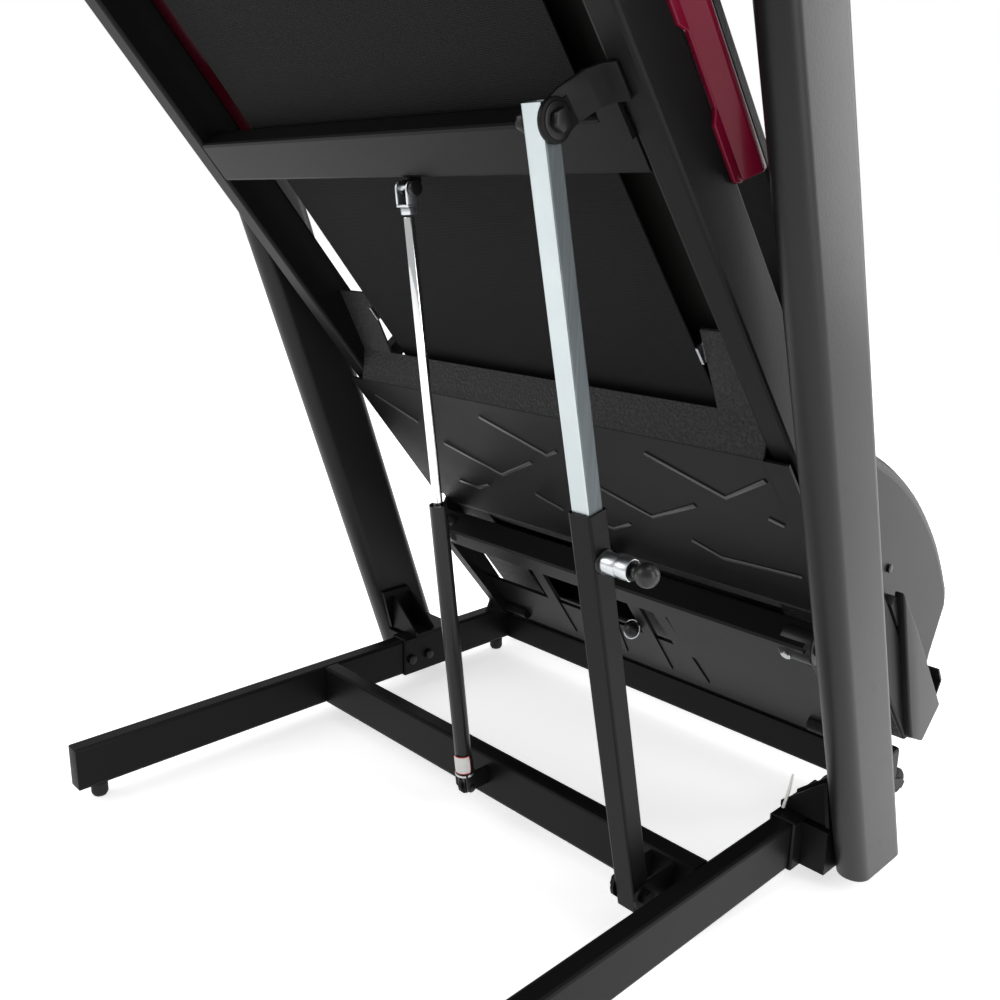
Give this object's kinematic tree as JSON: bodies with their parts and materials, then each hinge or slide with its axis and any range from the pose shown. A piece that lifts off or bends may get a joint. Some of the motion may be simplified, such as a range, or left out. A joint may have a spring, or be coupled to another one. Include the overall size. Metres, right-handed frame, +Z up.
{
  "type": "folding treadmill",
  "caption": "Folding motorised treadmill, shown folded: deck raised against the uprights on a gas strut and a telescopic lock tube, with floor frame, hood, handrails and console.",
  "frame": {"origin": "on the floor, under the middle of the whole folded object", "axes": "+X to the walking user's right, +Y forwards towards the hood, +Z up"},
  "size_m": [0.903, 1.2353, 1.5087],
  "materials": {
    "black_powder_coat": "satin black powder coat",
    "black_plastic": "fine-grained black plastic",
    "black_rubber": "matte black rubber",
    "bright_zinc": "bright zinc plating",
    "chrome": "polished chrome",
    "gloss_crimson": "gloss crimson",
    "belt_weave": "dark grey woven underside, black ribbed top",
    "laminated_board": "black phenolic faced board",
    "cast_metal": "bare cast metal",
    "display_glass": "dark glossy fascia",
    "green_plastic": "green button",
    "red_plastic": "red button"
  },
  "bodies": {
    "floor_frame": {"base_front_tube": "black_powder_coat", "base_mid_tube": "black_powder_coat", "base_rail_left": "black_powder_coat", "base_rail_right": "black_powder_coat", "console_bar": "black_powder_coat", "console_panel": "display_glass", "console_shell": "black_plastic", "foot_front_left": "black_rubber", "foot_front_right": "black_rubber", "foot_rear_left": "black_rubber", "foot_rear_right": "black_rubber", "handrail_left": "black_powder_coat", "handrail_right": "black_powder_coat", "upright_bracket_left": "black_powder_coat", "upright_bracket_right": "black_powder_coat", "upright_left": "black_powder_coat", "upright_right": "black_powder_coat", "wire_loom": "black_rubber"},
    "deck": {"belly_pan": "black_plastic", "belt_guide_left": "bright_zinc", "belt_guide_right": "bright_zinc", "deck_board": "laminated_board", "deck_cross_tube": "black_powder_coat", "deck_front_tube": "black_powder_coat", "deck_tube_left": "black_powder_coat", "deck_tube_right": "black_powder_coat", "drive_belt": "black_rubber", "drive_motor": "cast_metal", "foot_rail_left": "black_plastic", "foot_rail_right": "black_plastic", "front_fascia": "black_plastic", "incline_motor": "cast_metal", "mains_inlet": "black_plastic", "motor_controller": "cast_metal", "motor_hood": "black_plastic", "rear_cap_left": "black_plastic", "rear_cap_right": "black_plastic", "rear_leg_left": "black_rubber", "rear_leg_right": "black_rubber", "running_belt": "belt_weave", "side_trim_left": "gloss_crimson", "side_trim_right": "gloss_crimson"},
    "lift_frame_body": {"lift_frame": "black_powder_coat"},
    "incline_rod_body": {"incline_rod": "bright_zinc"},
    "front_roller_body": {"front_roller": "bright_zinc"},
    "rear_roller_body": {"rear_roller": "bright_zinc"},
    "motor_rotor": {"flywheel": "cast_metal"},
    "strut_body": {"strut_cylinder": "black_powder_coat"},
    "strut_rod_body": {"strut_rod": "chrome"},
    "lock_outer_body": {"lock_outer_tube": "black_powder_coat"},
    "lock_inner_body": {"lock_inner_tube": "bright_zinc", "lock_top_bolt": "black_powder_coat"},
    "lock_plunger": {"lock_knob": "black_plastic"},
    "wheel_left": {"transport_wheel_left": "black_rubber"},
    "wheel_right": {"transport_wheel_right": "black_rubber"},
    "start_key": {"start_button": "green_plastic"},
    "stop_key": {"stop_button": "red_plastic"},
    "speed_up_key": {"speed_up_button": "black_plastic"},
    "speed_down_key": {"speed_down_button": "black_plastic"},
    "safety_key_body": {"safety_key": "red_plastic"}
  },
  "joints": [
    {"name": "fold", "type": "hinge", "parent": "floor_frame", "child": "deck", "pos_m": [0, 0.4344, 0.098], "axis": [1, 0, 0], "range_deg": [0, 53]},
    {"name": "incline", "type": "hinge", "parent": "deck", "child": "lift_frame_body", "pos_m": [0, 0.30288, 0.26857], "axis": [-1, 0, 0], "range_deg": [0, 18]},
    {"name": "incline_screw", "type": "slide", "parent": "deck", "child": "incline_rod_body", "axis": [0, -0.6232, 0.7821], "range_m": [-0.021, 0]},
    {"name": "front_roller_spin", "type": "hinge", "parent": "deck", "child": "front_roller_body", "pos_m": [0, 0.24898, 0.50437], "axis": [1, 0, 0], "continuous": true},
    {"name": "rear_roller_spin", "type": "hinge", "parent": "deck", "child": "rear_roller_body", "pos_m": [0, -0.48641, 1.42719], "axis": [1, 0, 0], "continuous": true},
    {"name": "motor_spin", "type": "hinge", "parent": "deck", "child": "motor_rotor", "pos_m": [0, 0.38558, 0.39585], "axis": [1, 0, 0], "continuous": true},
    {"name": "strut_swing", "type": "hinge", "parent": "floor_frame", "child": "strut_body", "pos_m": [0.02, 0.0279, 0.0552], "axis": [1, 0, 0], "range_deg": [0, 75.2]},
    {"name": "strut_stroke", "type": "slide", "parent": "strut_body", "child": "strut_rod_body", "axis": [0, -0.122, 0.9925], "range_m": [-0.2912, 0]},
    {"name": "lock_swing", "type": "hinge", "parent": "floor_frame", "child": "lock_outer_body", "pos_m": [0.306, 0.0139, 0.0575], "axis": [1, 0, 0], "range_deg": [0, 76.4]},
    {"name": "lock_stroke", "type": "slide", "parent": "lock_outer_body", "child": "lock_inner_body", "axis": [0, -0.2136, 0.9769], "range_m": [-0.2728, 0]},
    {"name": "plunger_pull", "type": "slide", "parent": "lock_outer_body", "child": "lock_plunger", "axis": [1, 0, 0], "range_m": [0, 0.008], "stiffness_N_per_m": 900},
    {"name": "wheel_left_spin", "type": "hinge", "parent": "floor_frame", "child": "wheel_left", "pos_m": [-0.362, 0.5104, 0.0195], "axis": [1, 0, 0], "continuous": true},
    {"name": "wheel_right_spin", "type": "hinge", "parent": "floor_frame", "child": "wheel_right", "pos_m": [0.362, 0.5104, 0.0195], "axis": [1, 0, 0], "continuous": true},
    {"name": "start_press", "type": "slide", "parent": "floor_frame", "child": "start_key", "axis": [0, 0.6428, -0.766], "range_m": [0, 0.002], "stiffness_N_per_m": 600},
    {"name": "stop_press", "type": "slide", "parent": "floor_frame", "child": "stop_key", "axis": [0, 0.6428, -0.766], "range_m": [0, 0.002], "stiffness_N_per_m": 600},
    {"name": "speed_up_press", "type": "slide", "parent": "floor_frame", "child": "speed_up_key", "axis": [0, 0.6428, -0.766], "range_m": [0, 0.002], "stiffness_N_per_m": 600},
    {"name": "speed_down_press", "type": "slide", "parent": "floor_frame", "child": "speed_down_key", "axis": [0, 0.6428, -0.766], "range_m": [0, 0.002], "stiffness_N_per_m": 600},
    {"name": "safety_key_pull", "type": "slide", "parent": "floor_frame", "child": "safety_key_body", "axis": [0, -0.6428, 0.766], "range_m": [0, 0.034]}
  ],
  "couplings": [
    {"joint": "incline_screw", "follows": "incline", "m_per_rad": -0.065},
    {"joint": "strut_swing", "follows": "fold", "ratio": 1.4168},
    {"joint": "strut_stroke", "follows": "fold", "m_per_rad": -0.31425},
    {"joint": "lock_swing", "follows": "fold", "ratio": 1.4397},
    {"joint": "lock_stroke", "follows": "fold", "m_per_rad": -0.2943},
    {"joint": "rear_roller_spin", "follows": "front_roller_spin", "ratio": 1},
    {"joint": "motor_spin", "follows": "front_roller_spin", "ratio": 2.45}
  ]
}
